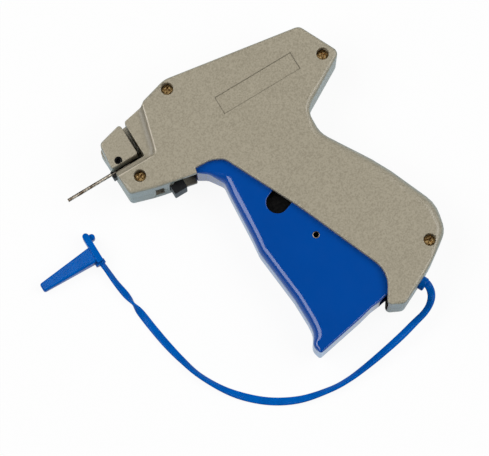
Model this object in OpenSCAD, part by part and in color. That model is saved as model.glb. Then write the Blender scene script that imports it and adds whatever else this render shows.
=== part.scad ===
// Garment tag attacher: a pistol-shaped hand tool that pushes plastic tag
// fasteners through cloth with a hollow needle. It lies on its right side.
// Working frame: x runs rearwards from the front of the nose, y runs up from
// the needle's axis, z runs out of the left side from the parting plane.

/* [Body] */
// Thickness of the housing over both shells
body_t = 25; // [22:0.5:32]
// Length of the housing from the front of the nose to the back of the barrel
barrel_len = 109; // [106:1:132]
// Drop of the grip's lower end below the needle's axis
grip_drop = 113.5; // [108:0.5:140]
// Wall of the shells round their outline
wall = 2.4; // [1.6:0.1:2.8]
// Wall of the shells' flat faces
face_wall = 2.6; // [2:0.1:3]
// Largest radius of the outer edge, on the back of the grip
back_edge = 4.5; // [1:0.5:5]
// Radius of the outer edge along the barrel
barrel_edge = 1.1; // [0.5:0.1:1.5]
// Depth of the bare name panel
panel_depth = 0.5; // [0.2:0.1:1]

/* [Feed slot] */
// Width of the slot that takes the fasteners' filaments
slot_w = 2.1; // [1.4:0.1:2.6]
// Thickness of the channel that takes the fasteners' cross bars
channel_t = 2.6; // [1.6:0.1:3.2]
// Length of a fastener's cross bar
crossbar_len = 10; // [8:0.5:11]
// How far the guide step beside the slot lies below the face
step_depth = 1.4; // [0.6:0.1:2]

/* [Needle] */
// How far the needle stands out of the nose
needle_out = 22.1; // [16:0.1:30]
// Outer diameter of the needle
needle_d = 1.5; // [1.3:0.1:2]
// Bore of the needle
needle_bore = 1.04; // [0.9:0.02:1.2]
// Width of the slit along the needle
needle_slit = 0.45; // [0.3:0.05:0.6]
// Diameter of the pusher rod
rod_d = 0.9; // [0.7:0.02:0.9]

/* [Trigger] */
// Angle that the trigger turns from rest to fully squeezed
squeeze = 22; // [18:0.5:22]
// Thickness of the trigger's cheeks
cheek_t = 2.2; // [1.6:0.1:2.6]
// Radius of the trigger's front edges, where the fingers lie
finger_edge = 4; // [2:0.5:5]
// Diameter of the trigger's pivot pin
trigger_pin_d = 4; // [3:0.5:5]
// Diameter of the roll pin that links the trigger to the drive arm
link_pin_d = 3.2; // [2.5:0.1:4]

/* [Drive] */
// Diameter of the drive arm's pivot pin
arm_pin_d = 4; // [3:0.5:5]
// Width of the drive arm over its two plates
arm_w = 10.4; // [9:0.2:11]
// Thickness of each plate of the drive arm
arm_plate = 2; // [1.4:0.1:2.4]
// Diameter of the cross pin in the pusher slide
slide_pin_d = 3; // [2.4:0.1:3.6]
// Outer diameter of the return spring
spring_d = 4.4; // [3.6:0.1:5]
// Wire of the return spring
spring_wire = 0.7; // [0.5:0.1:0.9]

/* [Feed] */
// Teeth of the feed wheel
wheel_teeth = 12; // [8:1:16]
// Diameter of the feed wheel over its teeth
wheel_d = 10.8; // [9:0.2:11]
// Thickness of the feed wheel
wheel_t = 3; // [2:0.2:4]
// Diameter of the feed wheel's shaft
wheel_shaft_d = 3; // [2:0.2:3.6]

/* [Fasteners] */
// Diameter of the housing screws' heads
head_d = 5; // [4.4:0.1:5.6]
// Diameter of the housing screws' shanks
shank_d = 2.9; // [2.5:0.1:3.2]
// Depth of the recesses that the screw heads sit in
recess_depth = 5.5; // [4:0.5:7]
// Diameter of the needle's clamp screw
clamp_d = 3.3; // [2.5:0.1:4]

/* [Release button] */
// Travel of the release button
button_travel = 1.6; // [1:0.1:2]
// Length of the release button along the barrel
button_len = 6; // [5:0.2:7]

/* [Cap] */
// Length of the needle cap's tapered sleeve
cap_len = 25.8; // [24:0.2:32]
// Width of the sleeve at its closed tip
cap_tip = 4; // [3:0.2:5]
// Width of the sleeve at its open end
cap_mouth = 7.1; // [6.5:0.1:9]
// Wall of the sleeve
cap_wall = 1; // [0.8:0.1:1.3]
// Width of the strap
strap_w = 3.4; // [2.4:0.1:4]
// Thickness of the strap
strap_t = 1.4; // [1:0.1:2]
// Diameter of the strap's round end on the grip
plug_d = 6; // [5:0.2:7]
// Thickness of the strap's round end
plug_t = 2.4; // [1.6:0.2:3.2]

/* [Hidden] */

$fn = 48;
eps = 0.02;        // cuts run this far past the faces they open
under = -2;        // what a shell is made of starts below the parting plane, which trims it
fit = 0.05;        // radial clearance of a pin that turns in its bore
run = 0.3;         // clearance between pieces that move past each other
loose = 0.15;      // clearance of pieces that are only dropped into place

// ---- levels through the thickness -----------------------------------------------
half_t = body_t / 2;
inner_z = half_t - face_wall;          // inside of the shells' faces
cheek_z = inner_z - 0.5;               // outside of the trigger's cheeks
hollow_z = cheek_z - cheek_t;          // inside of the trigger's cheeks
arm_z = arm_w / 2;
plate_z = arm_z - arm_plate;           // inside of the drive arm's plates
tongue_z = plate_z - run;              // half width of the slide between the plates
cover_z = half_t - 0.3;                // outside of the nose cover
seat_z = -1.5;                         // seat of the nose cover on the right shell

// ---- pivots and travel ----------------------------------------------------------
trigger_pivot = [42, -14.5];
link_pin_at = [59.1, -68.9];
slot_end = [52.5, -48.5];              // front end of the curved slot in the cheeks
arm_pivot = turned(slot_end, trigger_pivot, squeeze);
fork_y = 2;                            // height of the slide's cross pin
arm_swing = direction(turned(link_pin_at, trigger_pivot, squeeze) - arm_pivot)
          - direction(link_pin_at - arm_pivot);
arm_lean = arm_swing / 2;              // the arm leans back this far at rest
stroke = 2 * (fork_y - arm_pivot[1]) * tan(arm_lean);
fork_x = arm_pivot[0] + stroke / 2;    // the cross pin's place at rest
pin_steps = 14;                        // steps that trace a pin's path along a slot

// ---- small sizes ----------------------------------------------------------------
slot_back = 14.9;                      // rear wall of the feed slot
slot_top = -0.15;                      // underside of the nose cover
slot_low = slot_top - slot_w;          // lower wall of the slot's forward arm
cover_back = slot_back - slot_w;       // rear face of the nose cover
channel_mid = 13.8;                    // middle of a cross bar in the channel
boss_r = head_d / 2 + 1.15;
recess_r = head_d / 2 + 0.15;
screws_at = [[37.9, 17.2], [8.7, -8.9], [barrel_len - 6.8, -4.3], [98.5, low(-96)]];
clamp_at = [4.3, 1.5];
wheel_at = [20.6, -8.6];
pawl_at = [33.2, -5.6];
button_at = 20.9;                      // middle of the release button along x
button_top = -16.9;
cap_at = [-25, -24.5, -8.2];           // middle of the cap's mouth
base_nose = -2.7;                      // lower side of the needle base where it shows
guide_end = 28;                        // rear end of the rod guide, where the spring rests
rail_z = arm_z + run;                  // inner ends of the ribs that guide the slide
wing_y = [8.5, 9.8];                   // underside and top of the slide's wings
boss_slot_w = arm_pin_d + 4.6 + 2 * (run + 0.2);
ear_z = [2.2, 5, 5.8];                 // ends of the button's ears on both sides
ear_out = 1.2;                         // the ears reach this far past the button's stem
ear_top = -15.1;
button_roof = -12.2;                   // the button's springs push against this
spring_turns = 18;
peg_d = 2.9;                           // peg of the strap's round end
step_sweep = 3;                        // width of the guide step's swept rear
edge_steps = 5;                        // facets of a moulding's rounded edge
sleeve_r = 1;                          // corner radius of the cap's sleeve

// Points that the strap runs through, from the cap to the plug, and how far it is
// turned on its edge there
plug_edge = [93 - 75.5, low(-105.4) - low(-113.7)];
plug_at = [75.5 + plug_edge[0] * 0.67, low(-113.7) + plug_edge[1] * 0.67, 0];
plug_way = unit([plug_edge[1], -plug_edge[0], 0]);
strap_route = [[-23.4, -30, -9, 58], [-23.1, -33, -9.4, 58], [-22.6, -39.3, -10.3, 50],
    [-21.6, -46, -10.7, 38], [-20.9, -51.1, -10.6, 88], [-20.2, -56.2, -11.1, 150],
    [-19.2, -64.2, -11.7, 178], [-17.9, -72.8, -11.4, 196], [-16, -81.7, -10.9, 220],
    [-12.9, -91.9, -10.6, 236], [-6.9, -102.9, -10.8, 220], [0.4, -111.4, -11.7, 186],
    [9, -118.3, -11.7, 180], [19.3, -123.4, -10.9, 210], [31.7, -126.2, -10.1, 232],
    [40, -126.7, -9.4, 234], [48.1, -126.1, -8.4, 226], [57.9, -124.8, -7, 214],
    [68.2, -123, -5.6, 205], [76.4, -121.1, -4.3, 214], [81.6, -119.9, -3.3, 222],
    [85.3, -118.2, -2.5, 222], [87.8, -115.9, -1.6, 208], [89, -113.3, -0.7, 192],
    concat(plug_at + plug_way * (plug_t + 0.9) + unit([plug_edge[0], plug_edge[1], 0]) * 0.6, [180])];
strap_steps = 3;                       // rings of the strap between two points

// Rest box of the tool without its strap and cap, which the row frame is centred on
box_low = [-needle_out, min([for (p = concat(shell_points(), trigger_points())) p[1]])];
box_high = [max([for (p = shell_points()) p[0]]), max([for (p = shell_points()) p[1]])];
origin = [(box_low[0] + box_high[0]) / 2, (box_low[1] + box_high[1]) / 2, -half_t];

// ---- plane geometry -------------------------------------------------------------
function unit(v) = v / norm(v);
function direction(v) = atan2(v[1], v[0]);
function turned(p, about, a) = about + [cos(a) * (p[0] - about[0]) - sin(a) * (p[1] - about[1]),
                                        sin(a) * (p[0] - about[0]) + cos(a) * (p[1] - about[1])];
function cross2(a, b) = a[0] * b[1] - a[1] * b[0];

// The grip grows below the link pin, and the barrel grows behind the pusher slide
function low(y) = y > -75 ? y : -75 + (y + 75) * (grip_drop - 75) / (113.5 - 75);
function back(x) = x + barrel_len - 109;

// One corner of an outline, [x, y, radius, edge radius], as the points of its arc
function corner(a, b, c) =
    let (p = [b[0], b[1]], u = unit([a[0], a[1]] - p), w = unit([c[0], c[1]] - p),
         bend = 180 - acos(u * w), reach = b[2] * tan(bend / 2), side = sign(cross2(u, w)),
         mid = p + unit(u + w) * b[2] / cos(bend / 2), from = direction(p + u * reach - mid),
         n = max(1, ceil(bend / 15)))
    b[2] == 0 ? [[p[0], p[1], b[3]]] :
    [for (i = [0 : n]) [mid[0] + b[2] * cos(from - side * bend * i / n),
                        mid[1] + b[2] * sin(from - side * bend * i / n), b[3]]];
function rounded(v) = [for (i = [0 : len(v) - 1])
    each corner(v[(i + len(v) - 1) % len(v)], v[i], v[(i + 1) % len(v)])];

// Outline points moved inwards, each by its own share; the outline runs anticlockwise
function inward(pts, i) =
    let (n = len(pts), a = pts[(i + n - 1) % n], b = pts[i], c = pts[(i + 1) % n],
         e1 = unit([b[0] - a[0], b[1] - a[1]]), e2 = unit([c[0] - b[0], c[1] - b[1]]),
         n1 = [-e1[1], e1[0]], n2 = [-e2[1], e2[0]])
    (n1 + n2) / (1 + n1 * n2);
// A whole outline moved inwards: its corners move, and their radii shrink or grow with them
function inset(v, d) = [for (i = [0 : len(v) - 1])
    let (n = len(v), a = v[(i + n - 1) % n], b = v[i], c = v[(i + 1) % n],
         turn = cross2([b[0] - a[0], b[1] - a[1]], [c[0] - b[0], c[1] - b[1]]),
         p = [b[0], b[1]] + inward(v, i) * d)
    [p[0], p[1], turn > 0 ? max(b[2] - d, 0.3) : b[2] + d, b[3]]];

// A smooth way through points, with n steps from each to the next
function smooth(v, n) = [for (i = [0 : len(v) - 2], k = [0 : i == len(v) - 2 ? n : n - 1])
    let (a = v[max(i - 1, 0)], b = v[i], c = v[i + 1], d = v[min(i + 2, len(v) - 1)], t = k / n)
    b + (c - a) / 2 * t + (a * 2 - b * 5 + c * 4 - d) / 2 * t * t
      + (b * 3 - a - c * 3 + d) / 2 * t * t * t];

// ---- outlines -------------------------------------------------------------------
// What both shells share, from the front of the nose along the bottom to the top
function shared_corners() = [
    [0.9, -13.4, 2, 1.6], [12, -16.9, 40, 1.6], [29.9, -20.5, 0.6, 0.5], [30.4, -18.1, 0.6, 0.5],
    [37.5, -18.6, 6, 0.7], [43, -21.2, 5, 0.7], [59.6, -56.2, 60, 0.7],
    [76.6, low(-98.3), 12, 0.7], [68.6, low(-110.2), 2, 0.9], [75.5, low(-113.7), 3, 1.1],
    [93, low(-105.4), 40, 1.5], [106.4, low(-96.1), 9, 3.6], [109.6, low(-84), 15, back_edge],
    [98.9, -57.5, 60, back_edge], [83.9, -33, 12, 3.6], [83.8, -21.5, 8, 2.2],
    [back(108.9), -7.2, 3, 1.4], [back(100), 11.3, 3.5, 1.1], [38.8, 21.4, 9, barrel_edge],
    [26.6, 18.1, 2, barrel_edge], [24.2, 16.3, 2, barrel_edge]];
function left_corners() = concat(shared_corners(), [
    [slot_back, 14.5, 1.2, 0.5], [slot_back, slot_low, 0.8, 0.4], [0.6, slot_low, 0.8, 0.4]]);
function right_corners() = concat(shared_corners(), [
    [cover_back, 14.6, 6, barrel_edge], [0.4, 11.7, 2.2, 1]]);
function cover_corners() = [
    [0, slot_top, 0.9, 0.6], [cover_back, slot_top, 0.7, 0.4], [cover_back, 14.6, 1.2, 0.6],
    [1.1, 11.7, 2.2, 0.8]];
function trigger_corners() = [
    [29.9, -19.9, 1, 0.6], [34.1, -22.9, 5, 2], [37.9, -29.4, 3, finger_edge],
    [37.2, -36, 6, finger_edge], [35.7, -56.3, 20, finger_edge], [34.9, -63, 8, finger_edge],
    [37.6, low(-93), 60, finger_edge], [36.6, low(-103.5), 7, finger_edge],
    [33, low(-108.8), 4, 2], [34.4, low(-112.9), 1.2, 0.8], [59.8, low(-108.3), 60, 0.8],
    [68.6, low(-105.7), 1.2, 0.8], [74.2, low(-102.8), 2.5, 0.8], [73.8, low(-86), 10, 0.8],
    [70, -58, 6, 0.8], [63, -52, 2, 0.8], [58, -36, 8, 0.8], [55.5, -13, 5, 0.8],
    [44, -8.3, 5.5, 0.8], [36, -9, 5, 0.8], [30.6, -17.4, 1, 0.6]];
function shell_points() = rounded(right_corners());
function trigger_points() = rounded(trigger_corners());

// ---- solids ---------------------------------------------------------------------
// A moulded plate up to z = h with a rounded upper edge, down to z = base or, two-sided,
// to -h with a rounded lower edge. Each point has its own edge radius. The last facet of
// the edge runs a little past the flat face, which is then cut in one plane.
module moulding(pts, h, two_sided = false, base = 0) {
    n = len(pts);
    // [share of the edge radius inwards, share of it upwards from the edge's start]
    edge = [for (i = [0 : edge_steps - 1]) [1 - cos(90 * i / edge_steps), sin(90 * i / edge_steps)]];
    past = edge[edge_steps - 1] + ([1, 1] - edge[edge_steps - 1]) * 1.2;
    up = concat([for (r = edge) [1, r[0], r[1]]], [[1, past[0], past[1]], [1, past[0], 2]]);
    rings = two_sided
        ? concat([for (k = [len(up) - 1 : -1 : 0]) [-1, up[k][1], up[k][2]]], up)
        : concat([[0, 0, 0]], up);
    points = [for (r = rings) each [for (i = [0 : n - 1])
        let (e = pts[i][2], p = [pts[i][0], pts[i][1]] + inward(pts, i) * e * r[1])
        [p[0], p[1], r[0] == 0 ? base : r[0] * (r[2] == 2 ? h + 0.6 : h - e + e * r[2])]]];
    walls = [for (k = [0 : len(rings) - 2]) each [for (i = [0 : n - 1])
        let (j = (i + 1) % n, a = k * n + i, b = k * n + j, c = a + n, d = b + n)
        each [[a, c, b], [b, c, d]]]];
    top = (len(rings) - 1) * n;
    difference() {
        polyhedron(points, concat([[for (i = [0 : n - 1]) i]], walls,
                                  [[for (i = [n - 1 : -1 : 0]) top + i]]), convexity = 10);
        block([-100, -300, h], [300, 100, h + 2]);
        if (two_sided)
            block([-100, -300, -h - 2], [300, 100, -h]);
    }
}

// A prism of an outline between two levels
module prism(pts, z0, z1) {
    translate([0, 0, z0])
        linear_extrude(z1 - z0)
            polygon([for (p = pts) [p[0], p[1]]]);
}

module post(at, d, z0, z1) {
    translate([at[0], at[1], z0])
        cylinder(d = d, h = z1 - z0);
}

// A box between two corners
module block(from, to) {
    translate(from)
        cube(to - from);
}

// A tube of n flat sides swept along points; w and t are its width and thickness
module swept(path, w, t, sides, across) {
    n = len(path);
    points = [for (i = [0 : n - 1])
        let (ahead = unit(path[min(i + 1, n - 1)] - path[max(i - 1, 0)]),
             flat = unit(cross(across[i], ahead)), up = cross(ahead, flat))
        each [for (k = [0 : sides - 1])
            let (a = 360 * (k + 0.5) / sides)
            path[i] + flat * w / 2 * cos(a) / cos(180 / sides)
                    + up * t / 2 * sin(a) / cos(180 / sides)]];
    skin = [for (i = [0 : n - 2]) each [for (k = [0 : sides - 1])
        let (j = (k + 1) % sides, a = i * sides + k, b = i * sides + j)
        each [[a, a + sides, b], [b, a + sides, b + sides]]]];
    polyhedron(points, concat(skin, [[for (k = [0 : sides - 1]) k]],
                              [[for (k = [sides - 1 : -1 : 0]) (n - 1) * sides + k]]), convexity = 10);
}

// ---- housing --------------------------------------------------------------------
// The inside of a shell: its outline moved in by the wall, short of the solid nose and
// straight across the mouth that the trigger's bay opens
module shell_hollow(corners) {
    plain = [for (i = [0 : len(corners) - 1]) if (i < 2 || i > 5) corners[i]];
    intersection() {
        prism(rounded(inset(plain, wall)), under, inner_z);
        block([slot_back + 4.6, -200, under - 1], [300, 100, inner_z + 1]);
    }
}

// The space that the trigger swings through, open along the front of the grip
module trigger_bay() {
    reach = norm([34.4, low(-112.9)] - trigger_pivot) + 0.6;
    intersection() {
        translate([trigger_pivot[0], trigger_pivot[1], under])
            cylinder(r = reach, h = inner_z - under, $fn = 180);
        prism([[29.4, -24], [29.4, -17.2], [33, -14], [46, -14], [64, -50], [81, low(-97)],
               [81, low(-120)], [20, low(-120)]], under, inner_z);
    }
}

// What the two shells have alike, in the half z > 0
module shell_body(corners) {
    difference() {
        union() {
            difference() {
                moulding(rounded(corners), half_t, base = -1);
                shell_hollow(corners);
                trigger_bay();
            }
            for (s = screws_at)
                post(s, 2 * boss_r, -1, inner_z + eps);
            // pivot bosses of the trigger and the drive arm
            post(trigger_pivot, trigger_pin_d + 4, cheek_z + run, inner_z + eps);
            post(arm_pivot, arm_pin_d + 4.6, arm_z + run, inner_z + eps);
            // bosses of the feed wheel's shaft and the pawl's pin
            post(wheel_at, wheel_shaft_d + 3, wheel_t / 2 + run, inner_z + eps);
            post(pawl_at, 4, wheel_t / 2 + run, inner_z + eps);
            slide_rails();
            nose_ribs();
        }
        post(trigger_pivot, trigger_pin_d + 2 * fit, under, half_t - 1.3);
        post(arm_pivot, arm_pin_d + 2 * fit, under, half_t - 1.3);
        post(wheel_at, wheel_shaft_d + 2 * fit, under, inner_z);
        post(pawl_at, 2 + 2 * fit, under, inner_z);
        nose_pockets();
        window_and_button_slot();
        // half of the hole for the strap's plug
        on_plug()
            cylinder(d = peg_d + 0.1, h = 12, center = true);
        // the parting plane
        block([-100, -300, under - 2], [300, 100, 0]);
    }
}

// Ribs that guide the wings of the pusher slide
module slide_rails() {
    block([36, wing_y[0] - 1.8, rail_z + 0.2], [97, wing_y[0] - run, inner_z + eps]);
    block([36, wing_y[1] + run, rail_z + 0.2], [86, wing_y[1] + 1.6, inner_z + eps]);
}

// Ribs behind the solid nose: the roof over the button's springs, the holder of the
// detent spring and the rest of the pawl's spring
module nose_ribs() {
    block([19, button_roof, wheel_t / 2 + run], [25.4, button_roof + 1.8, inner_z + eps]);
    difference() {
        block([28, -14.6, -1], [30.4, -12, inner_z + eps]);
        block([27, -13.5, under], [29.9, -13.1, 1.3]);
    }
    post(pawl_at + [5, 1.4], 1.6, 1.8, inner_z + eps);
}

// Pockets of the solid nose: needle base, rod, cross-bar channel and runner channel
module nose_pockets() {
    block([-1, base_nose - loose, under], [2, slot_top + eps, 3.4 + loose]);
    block([1.2 - loose, -4.4 - loose, under], [12.5 + loose, slot_top + eps, 3.4 + loose]);
    block([cover_back - 4, slot_low - 0.5, under], [channel_mid + crossbar_len / 2, 20, channel_t / 2]);
    block([12.3, -30, under], [15.7, 0, channel_t / 2]);
    block([12.4, -2.2 - loose, under], [guide_end + loose, 2.2 + loose, 2.2 + loose]);
    // room for the knife, and for the feed wheel that reaches into the runner channel
    block([15.6, -4.2, under], [16.9, -2, 0.4]);
    post(wheel_at, wheel_d + 2 * run, under, wheel_t / 2 + run);
}

// The runner's way out, and the button's slot with the wider pocket for its ears
module window_and_button_slot() {
    from = button_at - button_len / 2 - run;
    to = button_at + button_len / 2 + run;
    block([11.5, -22, under], [15.4, -14, 5.5]);
    block([from, -24, under], [to, -13.6, ear_z[2] + run]);
    block([from - ear_out, -16.1, ear_z[0] - run], [to + ear_out, button_roof, ear_z[2] + run]);
}

module screw_holes(through) {
    for (s = screws_at)
        if (through) {
            post(s, shank_d + 0.4, under, half_t + 1);
            post(s, 2 * recess_r, half_t - recess_depth, half_t + 1);
        } else
            post(s, shank_d + 0.1, under, half_t - 3);
}

// The sunken step behind and below the feed slot: a flat that sweeps up to the face at its
// rear. Each level's outline lies further out by the share that the sweep has there.
module guide_step() {
    level = half_t - step_depth;
    low_side = slot_low - 1.2;
    prism([[-1, low_side], [slot_back, low_side], [slot_back, 0], [-1, 0]], level, half_t + 1);
    hull()
        for (a = [0 : 18 : 90])
            let (out = step_sweep * (1 - sin(a)), z = level + step_depth * (1 - cos(a)) * 1.02)
            prism(rounded([[slot_back - 1, low_side + out * 0.2, 0, 0],
                           [19.7 - out, low_side + out * 0.2, 2.4, 0],
                           [25.9 - out, 19, 0, 0], [slot_back - 1, 19, 0, 0]]), z, z + 0.01);
}

module name_panel() {
    block([back(53.1), -4.8, half_t - panel_depth], [back(90.7), 3.3, half_t + 1]);
}

module left_shell() {
    color([0.65, 0.62, 0.54])
        difference() {
            shell_body(left_corners());
            screw_holes(true);
            guide_step();
            name_panel();
        }
}

module right_shell() {
    color([0.65, 0.62, 0.54])
        mirror([0, 0, 1])
            difference() {
                shell_body(right_corners());
                screw_holes(false);
                // the nose cover's seat and the floor of the feed slot
                block([-5, slot_top, under], [cover_back + loose, 30, -seat_z]);
                block([cover_back, slot_low, under], [slot_back, 30, channel_t / 2]);
                block([-1, -1, under], [7.2 + loose, 2.6 + loose, 3.4 + loose]);
                block([-1, -1, under], [12.5 + loose, 0.6 + loose, 3.4 + loose]);
                cover_pegs(loose);
            }
}

// Two pegs that hold the nose cover on the right shell
module cover_pegs(gap = 0) {
    for (p = [[3.4, 8.6], [9, 9.6]])
        post(p, 2.6 + 2 * gap, -seat_z - eps, 5);
}

module nose_cover() {
    color([0.65, 0.62, 0.54])
        difference() {
            union() {
                translate([0, 0, seat_z])
                    moulding(rounded(cover_corners()), cover_z - seat_z);
                mirror([0, 0, 1])
                    cover_pegs();
            }
            // needle base pocket, cross-bar channel and clamp screw
            block([-1, -5, seat_z - eps], [cover_back + 1, 2.6 + loose, 3.4 + loose]);
            block([cover_back - 4, -1, seat_z - eps], [cover_back + 1, 20, channel_t / 2]);
            post(clamp_at, clamp_d + 2 * fit, 0, cover_z + 1);
        }
}

// ---- fasteners ------------------------------------------------------------------
module screw(at) {
    head_z = half_t - recess_depth;
    difference() {
        union() {
            post(at, shank_d, -half_t + 3.4, head_z + eps);
            post(at, head_d, head_z, head_z + 1.6);
            translate([at[0], at[1], head_z + 1.6])
                scale([1, 1, 0.3])
                    intersection() {
                        sphere(d = head_d);
                        cylinder(d = head_d, h = head_d);
                    }
        }
        for (a = [0, 90])
            translate([at[0], at[1], head_z + 1.2])
                rotate([0, 0, a + 20])
                    translate([-head_d * 0.3, -0.35, 0])
                        cube([head_d * 0.6, 0.7, 3]);
    }
}

module housing_screws() {
    color([0.72, 0.6, 0.32])
        for (s = screws_at)
            screw(s);
}

module clamp_screw() {
    color([0.08, 0.08, 0.09])
        difference() {
            post(clamp_at, clamp_d, 3.4, cover_z - 0.4);
            translate([clamp_at[0], clamp_at[1], cover_z - 2])
                cylinder(d = clamp_d * 0.55, h = 3, $fn = 6);
        }
}

// ---- trigger --------------------------------------------------------------------
// The curved slot that clears the drive arm's boss, about the trigger's pivot
module boss_slot() {
    r = norm(slot_end - trigger_pivot);
    w = boss_slot_w;
    from = direction(slot_end - trigger_pivot);
    function arc(r, a) = trigger_pivot + r * [cos(a), sin(a)];
    prism(concat([for (a = [0 : 20]) slot_end + w / 2 * [cos(from + 180 + 9 * a), sin(from + 180 + 9 * a)]],
                 [for (a = [2 : 2 : squeeze + 12]) arc(r + w / 2, from + a)],
                 [for (a = [squeeze + 12 : -2 : 2]) arc(r - w / 2, from + a)]), -20, 20);
}

module trigger() {
    hollow = rounded(inset(trigger_corners(), cheek_t + 0.2));
    color([0.0, 0.27, 0.58])
        difference() {
            union() {
                difference() {
                    moulding(trigger_points(), cheek_z, two_sided = true);
                    prism(hollow, -hollow_z, hollow_z);
                    // open back and top, where the arm and the springs reach in
                    prism([[41, -16], [43.4, -5], [58, -4], [80, -30], [90, low(-90)], [80, low(-112)],
                           [62, low(-103)]], -hollow_z, hollow_z);
                }
                // the hub is slim where the drive arm leans against it
                post(trigger_pivot, trigger_pin_d + 2.4, 0.5 - cheek_z, cheek_z - 0.5);
                for (z = [0.5 - cheek_z, arm_z + run])
                    post(trigger_pivot, trigger_pin_d + 6.8, z, z + cheek_z - 0.5 - arm_z - run);
                // stiffening ribs across the hollow, behind the fingers
                for (y = [-44, -80])
                    block([37.5, low(y) - 1, -hollow_z - eps], [42.5, low(y) + 1, hollow_z + eps]);
            }
            post(trigger_pivot, trigger_pin_d + 2 * fit, -20, 20);
            post(link_pin_at, link_pin_d - eps, -20, 20);
            boss_slot();
        }
}

module trigger_pin() {
    color([0.75, 0.76, 0.78])
        post(trigger_pivot, trigger_pin_d, -half_t + 1.5, half_t - 1.5);
}

// A rolled spring pin: a tube with a slit along it
module link_pin() {
    color([0.62, 0.6, 0.55])
        difference() {
            post(link_pin_at, link_pin_d, -cheek_z + 0.1, cheek_z - 0.1);
            post(link_pin_at, link_pin_d * 0.55, -20, 20);
            translate([link_pin_at[0], link_pin_at[1], -20])
                rotate([0, 0, 35])
                    translate([0, -0.3, 0])
                        cube([link_pin_d, 0.6, 40]);
        }
}

// ---- drive arm and slide --------------------------------------------------------
// Where a pin that the trigger or the slide carries is seen from the turning arm
function link_in_arm(k) = turned(turned(link_pin_at, trigger_pivot, squeeze * k), arm_pivot,
                                 -arm_swing * k);
function fork_in_arm(k) = turned([fork_x - stroke * k, fork_y], arm_pivot, -arm_swing * k);

// The arm's outline: a fork above, the hub, and a foot with the link pin's slot below
module arm_outline() {
    up = 90 - arm_lean;
    down = direction(link_in_arm(0.5) - arm_pivot);
    tip_r = norm(fork_in_arm(0) - arm_pivot) + 1.1;
    foot_r = norm(link_in_arm(0) - arm_pivot) + link_pin_d / 2 + 2.4;
    hub_r = arm_pin_d / 2 + 4.2;
    // a lobe that closes the hole in the cheeks at rest
    lobe = direction(slot_end - arm_pivot);
    lobe_w = boss_slot_w / 2 + 0.6;
    lobe_r = norm(slot_end - arm_pivot) + lobe_w;
    function at(a, r, side) = [arm_pivot[0] + r * cos(a) - side * sin(a),
                               arm_pivot[1] + r * sin(a) + side * cos(a)];
    tip_w = slide_pin_d / 2 + 3;
    foot_w = link_pin_d / 2 + 4;
    polygon([for (p = rounded([
        concat(at(up, tip_r, -tip_w), [2, 0]), concat(at(up, tip_r, tip_w), [2, 0]),
        concat(at((up + down + 360) / 2, hub_r, 0), [5, 0]),
        concat(at(lobe, lobe_r, -lobe_w), [lobe_w - 0.1, 0]),
        concat(at(lobe, lobe_r, lobe_w), [lobe_w - 0.1, 0]),
        concat(at(down, foot_r, -foot_w), [4, 0]), concat(at(down, foot_r, foot_w), [4, 0]),
        concat(at((up + down) / 2, hub_r, 0), [5, 0])])) [p[0], p[1]]]);
}

module drive_arm() {
    tip_r = norm(fork_in_arm(0) - arm_pivot);
    color([0.09, 0.09, 0.1])
        difference() {
            translate([0, 0, -arm_z])
                linear_extrude(arm_w)
                    arm_outline();
            // the gap between the plates, open towards the slide
            translate([arm_pivot[0], arm_pivot[1], 0])
                rotate([0, 0, -arm_lean]) {
                    block([-2, 7, -plate_z], [20, 60, plate_z]);
                    block([-20, 30, -plate_z], [20, 60, plate_z]);
                }
            post(arm_pivot, arm_pin_d + 2 * fit, -20, 20);
            for (i = [0 : pin_steps]) {
                post(link_in_arm(i / pin_steps), link_pin_d + 2 * run, -20, 20);
                post(fork_in_arm(i / pin_steps), slide_pin_d + 2 * run, -20, 20);
            }
            // mouth of the fork
            translate([arm_pivot[0], arm_pivot[1], 0])
                rotate([0, 0, direction(fork_in_arm(0) - arm_pivot)])
                    block([tip_r, -slide_pin_d / 2 - run, -20], [tip_r + 9, slide_pin_d / 2 + run, 20]);
        }
}

module arm_pin() {
    color([0.75, 0.76, 0.78])
        post(arm_pivot, arm_pin_d, -half_t + 1.5, half_t - 1.5);
}

module pusher_slide() {
    nose = fork_x - 6.6;
    tail = fork_x + 6.2;
    color([0.13, 0.13, 0.14])
        difference() {
            union() {
                block([nose, -2.4, -tongue_z], [tail, wing_y[1], tongue_z]);
                // wings that run on the rails, past the fork's prongs
                block([nose, wing_y[0], -inner_z + run], [tail, wing_y[1], inner_z - run]);
            }
            post([fork_x, fork_y], slide_pin_d - eps, -20, 20);
            translate([nose - 1, 0, 0])
                rotate([0, 90, 0])
                    cylinder(d = rod_d + 0.1, h = 5);
            // lightening pocket
            block([nose + 2, 5, -tongue_z - 1], [tail - 2, 7.4, tongue_z + 1]);
        }
}

module slide_pin() {
    color([0.75, 0.76, 0.78])
        post([fork_x, fork_y], slide_pin_d, -arm_z, arm_z);
}

module pusher_rod() {
    tip = channel_mid + crossbar_len / 2 + 0.4;
    color([0.8, 0.81, 0.83])
        translate([tip, 0, 0])
            rotate([0, 90, 0])
                cylinder(d = rod_d, h = fork_x - 6.6 + 3.6 - tip);
}

module rod_guide() {
    color([0.13, 0.13, 0.14])
        difference() {
            block([channel_mid + crossbar_len / 2 + 0.7, -2.2, -2.2], [guide_end, 2.2, 2.2]);
            translate([10, 0, 0])
                rotate([0, 90, 0])
                    cylinder(d = rod_d + 2 * fit, h = 30);
        }
}

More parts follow.
